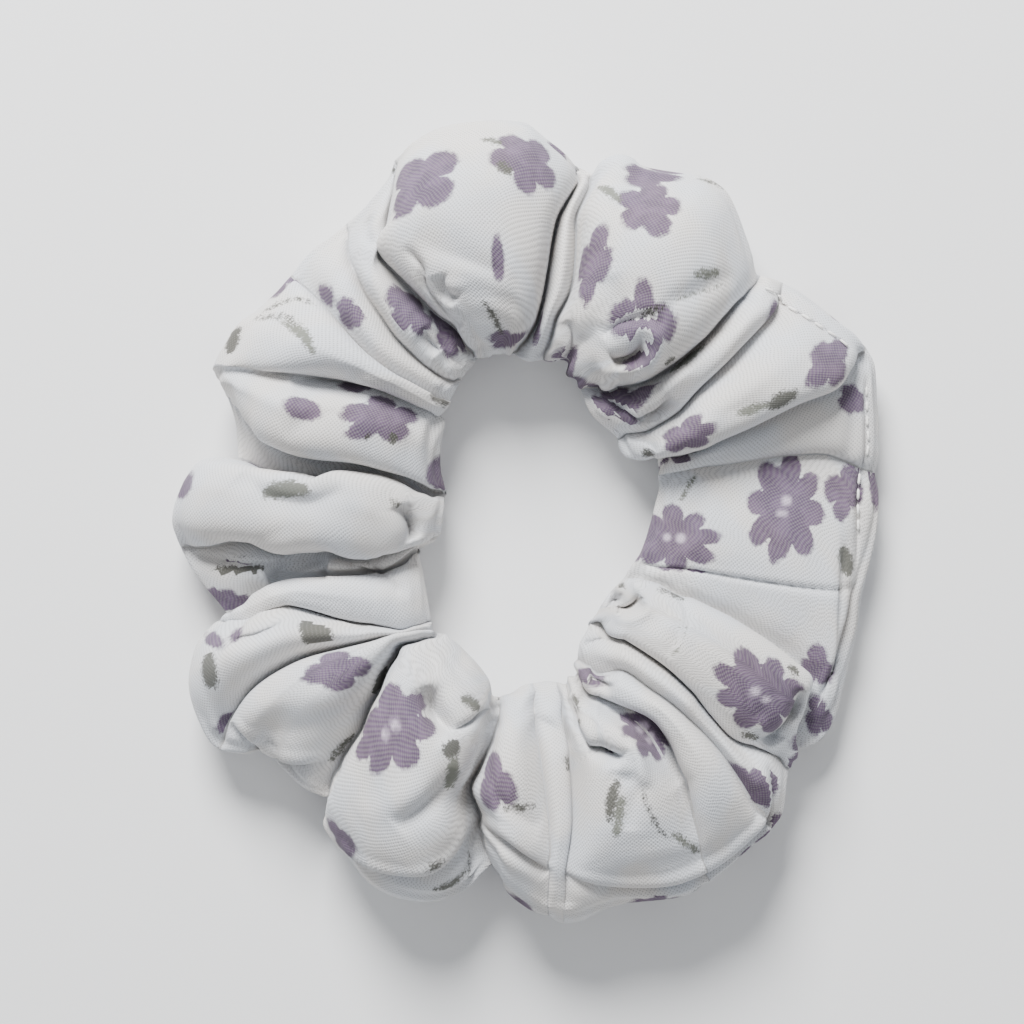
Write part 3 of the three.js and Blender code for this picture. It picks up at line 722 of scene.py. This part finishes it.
LEAVES = [Leaf(*row) for row in (
    (-44.4, 29.6, -43.6, 24.6, 1.4, 0, 0), (-40.2, 33.1, -30.6, 30.8, 0.5, 1.4, 0.1),
    (-40.6, 32.5, -34, 28.6, 0.7, 0.5, 0.15), (-36.4, 30.6, -31.4, 24.6, 1.1, 0.8, 0.75),
    (-20.6, 54, -20, 52.4, 0.8, 0, 0), (-7.6, 57.2, -3.8, 55, 0.7, 0.3, 0.5),
    (-5, 53, -2.4, 50.4, 1, 0, 0.35), (-14.8, 17.4, -11.4, 19.2, 0.9, 0, 0),
    (-6.4, 33, -4.4, 26.8, 0.7, 0.4, 0.1), (-37, 7.9, -29.2, 6.9, 0.9, 0.3, 0),
    (-39.6, 3.4, -31.4, 4.6, 1.5, 0.6, 0.5), (-24.2, 13, -23.4, 11.6, 0.7, 0, 0.1),
    (-20.2, 13.6, -20, 11.4, 0.9, 0, 0.3), (-21, 3.2, -18.6, 1.8, 0.7, 0, 0.2),
    (-48, -6.6, -39, -7.8, 1.4, -0.4, 0.1), (-48.6, -18.6, -47.6, -25.4, 1.5, 0.2, 0.15),
    (-33.6, -13.6, -29.2, -19.4, 2.4, 0, 0.1), (-23.4, -25.8, -20.8, -21.6, 1.4, 0, 0.1),
    (-10, -26.4, -6.2, -26.6, 1.1, 0, 0.35), (-12.6, -34.2, -10.2, -32, 1.6, 0, 0.1),
    (-11.8, -34.6, -10.8, -39.4, 1.3, 0, 0.8), (-30.6, -35.4, -25.4, -32, 0.8, 0, 0.2),
    (-4.2, -42.2, 1.6, -42.3, 0.7, 0, 0), (-16, -51.9, -12, -50.2, 0.8, 0, 0.1),
    (-14.4, -54.2, -8.6, -53.2, 0.8, -0.5, 0.3), (-9.2, -54, -8.2, -48.8, 0.5, 0, 0.1),
    (11.8, -44.4, 13.4, -37.2, 1.1, 0.5, 0.1), (12.8, -46.4, 13.8, -39.4, 1, 0, 0.75),
    (16.7, -38.8, 21.6, -46.8, 0.5, -1, 0), (20.4, -45.8, 26.2, -49, 0.8, 0, 0.6),
    (6.6, -25.6, 7.4, -28, 0.7, 0, 0.1), (6.6, -29.6, 8, -29.4, 0.7, 0, 0.1),
    (5.8, -34.4, 6, -37.6, 0.5, 0, 0.1), (47, -3.4, 48.8, -8.4, 1.5, 0, 0.3),
    (19.6, -9.2, 22.9, -13, 0.7, 0.5, 0.1), (22.9, -13.6, 20.8, -20, 0.6, 0.8, 0.65),
    (13.6, -10.4, 14.4, -9, 0.7, 0, 0.1), (34.8, 17, 40.2, 19.4, 1.3, 0, 0.15),
    (30.6, 16, 36, 17.6, 1, 0, 0.8), (20.4, 23.8, 27.6, 25.4, 1.1, 0, 0.7),
    (20.2, 23.2, 22, 24.6, 0.8, 0, 0.1), (16.2, 29.6, 20.4, 31.6, 0.8, 0.2, 0.1),
    (20, 31.6, 29.4, 35.6, 0.4, 0, 0.6), (24, 37, 28.6, 36.4, 1, 0, 0.7),
    (25, 51, 30, 50.4, 0.5, 0, 0.2), (10.2, 51, 13.4, 46.8, 1, 0, 0.75),
    (22.8, 2.8, 25.6, 7.6, 0.5, 0, 0.7), (16.8, 10, 19.2, 10.6, 0.8, 0, 0.1),
    (38.2, -21.4, 40.8, -22.2, 0.8, 0, 0.1), (31.6, -31, 34.8, -32.4, 0.7, 0, 0.2),
    (46.2, -20.8, 47, -21.4, 0.7, 0, 0.1),
)]


def print_fields(skin):
    """The print on the grid. For the flowers: millimetres inside the nearest petal edge, how near
    a petal's middle, and the pale eyes. For the leaves: millimetres inside, place along, paleness."""
    p, n = skin.points, skin.normals()
    top = p[:, :ROWS_ABOVE]
    flowers = np.zeros(p.shape)
    leaves = np.zeros(p.shape)
    flowers[..., 0] = leaves[..., 0] = -OUTSIDE

    def place(i, j, angle, reach, facing):
        """Every point's place in plan from point i, j, along and across the angle, if it faces
        the same way."""
        axis = np.array([math.cos(angle), math.sin(angle), 0])
        axis -= n[i, j] * (n[i, j] @ axis)
        axis /= np.linalg.norm(axis)
        side = np.cross(n[i, j], axis)
        d = p - p[i, j]
        far = np.linalg.norm(d, axis=2)
        flat = d - (d @ n[i, j])[..., None] * n[i, j]
        bend = np.clip(far / (np.linalg.norm(flat, axis=2) + 1e-6), 1, 1.5)
        own = (skin.gather == skin.gather[i])[:, None] & (far < reach) & (n @ n[i, j] > facing)
        x = (flat @ axis) * bend * max(np.hypot(*axis[:2]), LEAST_FORESHORTENED)
        y = (flat @ side) * bend * max(np.hypot(*side[:2]), LEAST_FORESHORTENED)
        return x[own], y[own], own

    def nearest(x, y):
        gap = (top[..., 0] - x) ** 2 + (top[..., 1] - y) ** 2 - 0.02 * top[..., 2]
        return np.unravel_index(np.argmin(gap), gap.shape)

    def keep(field, own, values):
        better = values[:, 0] > field[own][:, 0]
        field[own] = np.where(better[:, None], values, field[own])

    def draw_flower(i, j, item, angle):
        x, y, own = place(i, j, angle, 2.2 * item.length, FLOWER_FACING)
        u, v = x / item.length, y / item.width
        radius, turn = np.hypot(u, v), np.arctan2(v, u)
        lobe = np.abs(np.cos(turn * item.petals / 2))
        edge = 0.48 + 0.52 * lobe**0.45 * (1 + 0.16 * np.sin(2.3 * turn + item.x))
        size = math.sqrt(item.length * item.width)
        eye = item.eyes * np.maximum(
            np.exp(-(np.hypot(x - 1, y) / 0.75) ** 4), np.exp(-(np.hypot(x + 1, y - 0.3) / 0.6) ** 4)
        )
        keep(flowers, own, np.stack([(edge - radius) * size, lobe * radius, eye], -1))

    def draw_leaf(i, j, item, angle, length):
        x, y, own = place(i, j, angle, 0.75 * length + 2 * item.width, LEAF_FACING)
        u = x / (length / 2)
        blade = np.maximum(1 - u * u, 0) ** 0.6
        inside = item.width * (blade - np.abs(y - item.bow * (1 - u * u)) / item.width)
        inside = np.where(np.abs(u) < 1, inside, -OUTSIDE)
        keep(leaves, own, np.stack([inside, x, np.full_like(x, item.light)], -1))

    for item in FLOWERS:
        draw_flower(*nearest(item.x, item.y), item, math.radians(item.angle))
    for item in LEAVES:
        run = (item.x1 - item.x0, item.y1 - item.y0)
        middle = ((item.x0 + item.x1) / 2, (item.y0 + item.y1) / 2)
        draw_leaf(*nearest(*middle), item, math.atan2(run[1], run[0]), math.hypot(*run))

    rng = np.random.default_rng(PRINT_SEED)
    placed = []
    rows = np.arange(int(ROWS_ABOVE * 1.02), p.shape[1])
    for _ in range(UNDER_TRIES):
        i, j = rng.integers(len(p)), rng.choice(rows)
        gaps = [np.linalg.norm(p[i, j] - q) for q in placed]
        size, angle = rng.uniform(*UNDER_SIZE), rng.uniform(0, 360)
        petals, eye = rng.integers(4, 7), rng.integers(2)
        if gaps and min(gaps) < UNDER_GAP:
            continue
        placed.append(p[i, j])
        item = Flower(0, 0, size, size * 0.75, angle, petals, eye)
        draw_flower(i, j, item, math.radians(angle))
        sprig = Leaf(0, 0, 0, 0, 1.1, 0.3, 0.2)
        near = (i + int(size * 1.5 / COLUMN_WIDTH)) % len(p)
        draw_leaf(near, j, sprig, math.radians(angle + 60), 5)
    return flowers, leaves


def set_attribute(mesh, name, values):
    kind, key = ("FLOAT_VECTOR", "vector") if values.ndim == 2 else ("FLOAT", "value")
    attribute = mesh.attributes.new(name, kind, "POINT")
    attribute.data.foreach_set(key, np.ascontiguousarray(values, np.float32).ravel())


# ---------------------------------------------------------------- materials


class Nodes:
    """A short way to write a material's nodes."""

    def __init__(self, name):
        self.material = bpy.data.materials.new(name)
        self.material.use_nodes = True
        self.tree = self.material.node_tree
        self.shader = self.tree.nodes["Principled BSDF"]

    def add(self, kind, inputs=(), **settings):
        node = self.tree.nodes.new(kind)
        for key, value in settings.items():
            setattr(node, key, value)
        for key, value in dict(inputs).items():
            self.feed(node.inputs[key], value)
        return node

    def feed(self, socket, value):
        if isinstance(value, bpy.types.NodeSocket):
            self.tree.links.new(value, socket)
        else:
            socket.default_value = value

    def math(self, operation, *values, clamp=False):
        inputs = dict(enumerate(values))
        return self.add("ShaderNodeMath", inputs, operation=operation, use_clamp=clamp).outputs[0]

    def attribute(self, name, output="Fac"):
        return self.add("ShaderNodeAttribute", attribute_name=name).outputs[output]

    def split(self, vector):
        return self.add("ShaderNodeSeparateXYZ", {0: vector}).outputs[:]

    def join(self, *parts):
        return self.add("ShaderNodeCombineXYZ", dict(enumerate(parts))).outputs[0]

    def noise(self, vector, scale, detail=2.0):
        inputs = {"Vector": vector, "Scale": scale, "Detail": detail}
        return self.add("ShaderNodeTexNoise", inputs).outputs["Fac"]

    def step(self, value, low, high):
        """0 below low, 1 above high and smooth between."""
        inputs = {"Value": value, "From Min": low, "From Max": high}
        node = self.add("ShaderNodeMapRange", inputs, interpolation_type="SMOOTHSTEP")
        return node.outputs["Result"]

    def times(self, a, b):
        return self.math("MULTIPLY", a, b)

    def plus(self, a, b):
        return self.math("ADD", a, b)

    def finish(self, **inputs):
        """Sets the shader's inputs and gives the material."""
        for name, value in inputs.items():
            self.feed(self.shader.inputs[name.replace("_", " ")], value)
        return self.material

    def mix(self, factor, a, b):
        node = self.add("ShaderNodeMix", data_type="RGBA")
        for socket, value in zip((node.inputs[0], node.inputs[6], node.inputs[7]), (factor, a, b)):
            self.feed(socket, value)
        return node.outputs[2]

    def bump(self, height, distance, strength=1.0):
        inputs = {"Height": height, "Distance": distance, "Strength": strength}
        return self.add("ShaderNodeBump", inputs).outputs["Normal"]


def printed_cotton():
    """Fine off-white plain weave, printed with lilac flowers and brushed grey-green leaves, with painted
    shade in the gaps between the threads.
    """
    m = Nodes("printed_cotton")
    chart = m.attribute("chart", "Vector")
    a, b, _ = m.split(chart)
    wander = m.times(m.math("SUBTRACT", m.noise(chart, 0.35, 2.0), 0.5), WEAVE_PITCH * 1.2)
    turn = 2 * math.pi / WEAVE_PITCH
    warp = m.math("SINE", m.times(m.plus(a, wander), turn))
    weft = m.math("SINE", m.times(m.math("SUBTRACT", b, wander), turn))
    weave = m.times(warp, weft)
    slub = m.noise(m.join(m.times(a, 0.25), m.times(b, 2.2), 0.0), 1.0, 3.0)
    height = m.plus(m.times(weave, 0.5), slub)
    # the low places of the weave, where the threads part; used below for painted shade
    hollow = m.step(m.times(weave, -1.0), 0.15, 0.95)

    edge_noise = m.math("SUBTRACT", m.noise(chart, 0.9, 4.0), 0.5)
    thread_noise = m.times(weave, 0.05)

    inside, lobe, eye = m.split(m.attribute("flowers", "Vector"))
    inside = m.plus(inside, m.times(edge_noise, 1.3))
    inside = m.plus(inside, thread_noise)
    inside = m.plus(inside, m.times(weave, 0.12))
    bloom = m.step(inside, -0.3, 0.5)
    mottle = m.step(m.noise(chart, 0.45, 3.0), 0.35, 0.68)
    lilac = m.mix(mottle, LILAC_DEEP, LILAC_PALE)
    lilac = m.mix(m.times(m.step(lobe, 0.1, 0.9), 0.3), lilac, LILAC_DEEP)
    lilac = m.mix(m.math("MULTIPLY", eye, 0.85, clamp=True), lilac, EYE)

    leaf_inside, along, light = m.split(m.attribute("leaves", "Vector"))
    streak = m.noise(m.join(m.times(a, 0.8), m.times(b, 0.8), along), 1.0, 5.0)
    brush = m.times(m.math("SUBTRACT", streak, 0.5), 1.5)
    speckle = m.times(m.math("SUBTRACT", m.noise(chart, 3.2, 2.0), 0.5), 2.0)
    painted = m.plus(m.plus(leaf_inside, brush), speckle)
    near = m.step(leaf_inside, -0.5, 0.0)
    leafy = m.times(m.step(painted, -0.15, 0.6), near)
    green = m.mix(light, LEAF_DARK, LEAF_PALE)

    shade = m.noise(chart, 0.09, 2.0)
    cloth = m.mix(m.step(shade, 0.35, 0.65), CLOTH_COOL, CLOTH_WARM)
    ink = m.plus(0.9, m.times(weave, 0.06))
    colour = m.mix(m.times(bloom, ink), cloth, lilac)
    colour = m.mix(m.times(leafy, 0.9), colour, green)
    # painted shade between the threads: the cloth is darkened towards a grey where the weave is low
    painted_gap_shade = m.times(hollow, 0.55)
    colour = m.mix(painted_gap_shade, colour, THREAD_GAP_SHADE)
    normal = m.bump(height, 0.05 * MM)
    return m.finish(Base_Color=colour, Roughness=0.88, Sheen_Weight=0.06, Sheen_Roughness=0.5,
                    Specular_IOR_Level=0.25, Normal=normal)


def cotton_thread():
    """White twisted sewing thread."""
    m = Nodes("cotton_thread")
    place = m.add("ShaderNodeTexCoord").outputs["Object"]
    fuzz = m.noise(place, 6000.0, 2.0)
    colour = m.mix(fuzz, (0.86, 0.84, 0.8, 1), (0.95, 0.94, 0.92, 1))
    return m.finish(Base_Color=colour, Roughness=0.55, Normal=m.bump(fuzz, 0.04 * MM))


def knitted_elastic():
    """White knitted elastic: fine ribs along the band, crossed by the knit, with painted shade in the low
    places between them.
    """
    m = Nodes("knitted_elastic")
    x, y, _ = m.split(m.attribute("chart", "Vector"))
    rib = m.math("SINE", m.times(y, 2 * math.pi / RIB_PITCH))
    knit = m.math("SINE", m.times(x, 2 * math.pi / KNIT_PITCH))
    height = m.plus(rib, m.times(knit, 0.6))
    # painted shade: the band's colour darkens where the ribs and knit are low
    painted_groove_shade = m.step(height, -1.2, 1.2)
    colour = m.mix(painted_groove_shade, (0.6, 0.59, 0.57, 1), (0.88, 0.87, 0.85, 1))
    return m.finish(Base_Color=colour, Roughness=0.8, Normal=m.bump(height, 0.08 * MM))


# ---------------------------------------------------------------- the pieces


def settle(piece, material):
    """Gives a piece its finish and bakes its placement into its mesh."""
    piece.data.materials.append(material)
    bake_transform(piece)


def make_cover(skin):
    """The outer skin with its print, and the lining that faces the elastic."""
    chart = skin.charts()
    lining = (skin.points - skin.normals() * CLOTH_THICKNESS)[::2, ::2]
    cover = new_object("cover", grid_mesh([skin.points, lining]))
    flowers, leaves = print_fields(skin)
    place = np.stack([chart[0], chart[1], np.zeros_like(chart[0])], -1)
    place[..., 0] += GATHER_APART * skin.gather[:, None]
    for name, field in {"chart": place, "flowers": flowers, "leaves": leaves}.items():
        values = np.concatenate([field.reshape(-1, 3), field[::2, ::2].reshape(-1, 3)])
        set_attribute(cover.data, name, values)
    settle(cover, printed_cotton())
    sections = [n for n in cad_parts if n.startswith("cover_")]
    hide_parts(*sections)
    return cover


def tube_points(path, radius, sides=8, closed=False):
    """A round tube along a path, as a grid of rings."""
    if closed:
        along = np.roll(path, -1, 0) - np.roll(path, 1, 0)
    else:
        along = np.gradient(path, axis=0)
    along /= np.linalg.norm(along, axis=1, keepdims=True)
    up = np.where(np.abs(along[:, 2:]) < 0.9, [[0, 0, 1]], [[1, 0, 0]])
    side = np.cross(along, up)
    side /= np.linalg.norm(side, axis=1, keepdims=True)
    up = np.cross(side, along)
    angle = np.linspace(0, 2 * math.pi, sides, endpoint=False)[None, :, None]
    return path[:, None] + radius * (np.cos(angle) * side[:, None] + np.sin(angle) * up[:, None])


def tube(path, radius, sides=8, closed=False):
    """Points and quads of a tube. An open tube narrows to nothing at both ends."""
    if not closed:
        radius = np.full(len(path), radius)
        radius[[0, -1]] = 0.02
        radius = radius[:, None, None]
    rings = tube_points(path, radius, sides, closed)
    return rings.reshape(-1, 3), grid_quads(len(path), sides, closed=(closed, True))


def joined(parts):
    points, faces, first = [], [], 0
    for p, f in parts:
        points.append(p)
        faces.append(f + first)
        first += len(p)
    return mesh_from(np.concatenate(points), np.concatenate(faces))


def surface_finder(skin):
    """A function that gives the upper side's height at places in plan."""
    top = skin.points[:, :ROWS_ABOVE].reshape(-1, 3)

    def find(x, y):
        gap = np.hypot(top[:, 0] - x, top[:, 1] - y)
        return top[gap < FIND_RADIUS, 2].max(initial=top[np.argmin(gap), 2])

    return find


def make_topstitch(skin):
    """The white hand stitches that close the turning gap along the outer edge."""
    height = surface_finder(skin)
    parts = []
    for line in TOPSTITCH_RUNS:
        length = np.linalg.norm(np.diff(smooth_path(line, 60), axis=0), axis=1).sum()
        count = int(length / STITCH_PITCH)
        path = smooth_path(line, count * 8 + 1)
        for k in range(count):
            flat = path[8 * k : 8 * k + 7]
            t = np.linspace(0, 1, len(flat))
            z = np.pad([height(x, y) for x, y in flat], 1, "edge")
            z = np.convolve(z, [0.25, 0.5, 0.25], "valid")
            lift = STITCH_RADIUS * STITCH_ARCH * np.sin(math.pi * t) ** 0.5 - STITCH_RADIUS * STITCH_SINK
            parts.append(tube(np.column_stack([flat, z + lift]), STITCH_RADIUS))
    piece = new_object("gap_topstitch_thread", joined(parts))
    settle(piece, THREAD_FINISH)
    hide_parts("gap_topstitch")
    return piece


def smooth_ring(points, rounds):
    for _ in range(rounds):
        points = (np.roll(points, 1, 0) + 2 * points + np.roll(points, -1, 0)) / 4
    return points


def ring_path(row, count, rounds, inset):
    """A smooth flat ring beside a row of the cover's grid, moved outwards by inset."""
    path = at_shares(np.vstack([row, row[:1]]), np.linspace(0, 1, count + 1))[:-1]
    path = smooth_ring(path, rounds)[:, :2]
    along = np.roll(path, -1, 0) - np.roll(path, 1, 0)
    along /= np.linalg.norm(along, axis=1, keepdims=True)
    outward = np.column_stack([along[:, 1], -along[:, 0]])
    path = path + inset * outward
    return np.column_stack([path, np.zeros(count)])


def room_inside(skin, path, margin):
    """The lowest and highest that a path can run inside the tube at each of its points."""
    upper = skin.points[:, :ROWS_ABOVE].reshape(-1, 3)
    lower = skin.points[:, ROWS_ABOVE:].reshape(-1, 3)
    room = []
    for x, y in path[:, :2]:
        over, under = (
            side[np.hypot(side[:, 0] - x, side[:, 1] - y) < ROOM_RADIUS, 2] for side in (upper, lower)
        )
        room.append((under.max(initial=0) + margin, over.min(initial=HIGHEST) - margin))
    low, high = np.array(room).T
    near = range(-ROOM_POINTS, ROOM_POINTS + 1)
    tight = np.min([np.roll(high, k) for k in near], axis=0)
    return smooth_ring(low, ROOM_ROUNDS), np.minimum(smooth_ring(tight, ROOM_ROUNDS), high)


def make_long_seam(skin):
    """The thread of the seam along the tube, inside its outer edge."""
    outer = skin.points[:, ROWS_ABOVE]
    path = ring_path(outer, SEAM_POINTS, SEAM_ROUNDS, -SEAM_INSET)
    path[:, 2] = np.mean(room_inside(skin, path, 0), axis=0)
    piece = new_object("long_seam_stitching", joined([tube(path, STITCH_RADIUS, closed=True)]))
    settle(piece, THREAD_FINISH)
    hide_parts("long_seam_thread")
    return piece


def make_end_seam(skin):
    """The thread that joins the tube's two ends: over the elastic one way and back under it."""
    height = surface_finder(skin)
    line = smooth_path(END_SEAM, END_SEAM_POINTS)[END_SEAM_SEWN]
    over = np.column_stack([line, np.array([height(x, y) for x, y in line]) - SEAM_DEPTH])
    under = np.column_stack([line[::-1], np.full(len(line), SEAM_LOWEST)])
    loop = at_shares(np.vstack([over, under, over[:1]]), np.linspace(0, 1, END_SEAM_LOOP + 1))[:-1]
    thread = tube(smooth_ring(loop, 6), STITCH_RADIUS, closed=True)
    piece = new_object("end_seam_stitching", joined([thread]))
    settle(piece, THREAD_FINISH)
    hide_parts("end_seam_thread")
    return piece


def make_elastic(skin):
    """The flat knitted band inside the tube, its ends lapped and sewn with a zigzag."""
    low, high = (np.array(c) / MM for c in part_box("elastic_band"))
    width = high[2] - low[2]
    path = ring_path(skin.points[:, 0], BAND_POINTS, BAND_ROUNDS, BAND_INSET)
    lowest, highest = room_inside(skin, path, CLOTH_THICKNESS + BAND_CLEARANCE)
    upright = np.clip((highest - lowest) / width, LEAST_UPRIGHT, 1)
    path[:, 2] = (lowest + highest) / 2
    start = int(np.argmin(np.hypot(path[:, 0] - BAND_JOIN[0], path[:, 1] - BAND_JOIN[1])))
    path, upright = np.roll(path, -start, 0), np.roll(upright, -start)
    path = np.vstack([path, path[:BAND_LAP]])
    upright = np.append(upright, upright[:BAND_LAP])
    along = np.gradient(path, axis=0)
    along /= np.linalg.norm(along, axis=1, keepdims=True)
    outward = np.column_stack([along[:, 1], -along[:, 0], np.zeros(len(path))])
    lift = np.clip((np.arange(len(path)) - (len(path) - 2 * BAND_LAP)) / BAND_LAP, 0, 1)
    path = path + outward * (BAND_THICKNESS * LAP_LIFT * lift)[:, None]
    section = rounded_rectangle(BAND_THICKNESS, width)
    lean = np.sqrt(1 - upright**2)[:, None]
    up = np.column_stack([lean * outward[:, :2], upright])
    out = np.column_stack([upright[:, None] * outward[:, :2], -lean])
    rings = path[:, None] + section[None, :, :1] * out[:, None] + section[None, :, 1:] * up[:, None]
    band = new_object(
        "elastic_core",
        mesh_from(rings.reshape(-1, 3), grid_quads(len(path), len(section), closed=(False, True))),
    )
    run = np.arange(len(path)) * np.linalg.norm(path[1] - path[0])
    place = np.zeros(rings.shape)
    place[..., 0] = run[:, None]
    place[..., 1] = section[None, :, 1]
    set_attribute(band.data, "chart", place.reshape(-1, 3))
    settle(band, knitted_elastic())
    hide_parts("elastic_band")

    sewn = slice(-BAND_LAP + ZIGZAG_MARGIN, -ZIGZAG_MARGIN)
    lapped = path[sewn]
    shares = np.linspace(0, 1, 4 * len(lapped))
    nearest = np.round(shares * (len(lapped) - 1)).astype(int)
    swing = np.sin(2 * math.pi * ZIGZAGS * shares)[:, None] * (width / 2 - ZIGZAG_EDGE)
    stand = BAND_THICKNESS / 2 + STITCH_RADIUS * 0.7
    zigzag = at_shares(lapped, shares) + out[sewn][nearest] * stand + up[sewn][nearest] * swing
    stitch = new_object("elastic_join_zigzag", joined([tube(zigzag, STITCH_RADIUS)]))
    settle(stitch, THREAD_FINISH)
    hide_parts("elastic_join_stitch")
    return band


def rounded_rectangle(width, height, corner=0.35, steps=5):
    points = []
    for quarter, (sx, sy) in enumerate(((1, 1), (-1, 1), (-1, -1), (1, -1))):
        for k in range(steps):
            angle = math.pi / 2 * (quarter + k / (steps - 1))
            points.append(
                (sx * (width / 2 - corner) + corner * math.cos(angle),
                 sy * (height / 2 - corner) + corner * math.sin(angle))
            )
    return np.array(points)


THREAD_FINISH = cotton_thread()
skin = Cover()
cover = make_cover(skin)
topstitch = make_topstitch(skin)
long_seam = make_long_seam(skin)
end_seam = make_end_seam(skin)
band = make_elastic(skin)

# ---------------------------------------------------------------- floor and light


def make_floor():
    bpy.ops.mesh.primitive_plane_add(size=4, location=(0, 0, -0.0002))
    floor = bpy.context.object
    floor.name = "floor"
    material = bpy.data.materials.new("floor")
    material.use_nodes = True
    shader = material.node_tree.nodes["Principled BSDF"]
    shader.inputs["Base Color"].default_value = (0.9, 0.9, 0.9, 1)
    shader.inputs["Roughness"].default_value = 0.9
    floor.data.materials.append(material)


def area_light(name, location, size, power):
    data = bpy.data.lights.new(name, "AREA")
    data.shape = "DISK"
    data.size = size
    data.energy = power
    light = bpy.data.objects.new(name, data)
    light.location = location
    light.rotation_euler = (Vector((0, 0, 0)) - Vector(location)).to_track_quat("-Z", "Y").to_euler()
    bpy.context.collection.objects.link(light)


def make_lights():
    world = bpy.data.worlds.new("world")
    world.use_nodes = True
    world.node_tree.nodes["Background"].inputs["Color"].default_value = (0.93, 0.96, 1, 1)
    world.node_tree.nodes["Background"].inputs["Strength"].default_value = 0.5
    bpy.context.scene.world = world
    area_light("key", (-0.14, 0.55, 0.48), 0.34, 15)
    area_light("fill", (0.5, -0.5, 0.9), 0.6, 1.2)


make_floor()
make_lights()
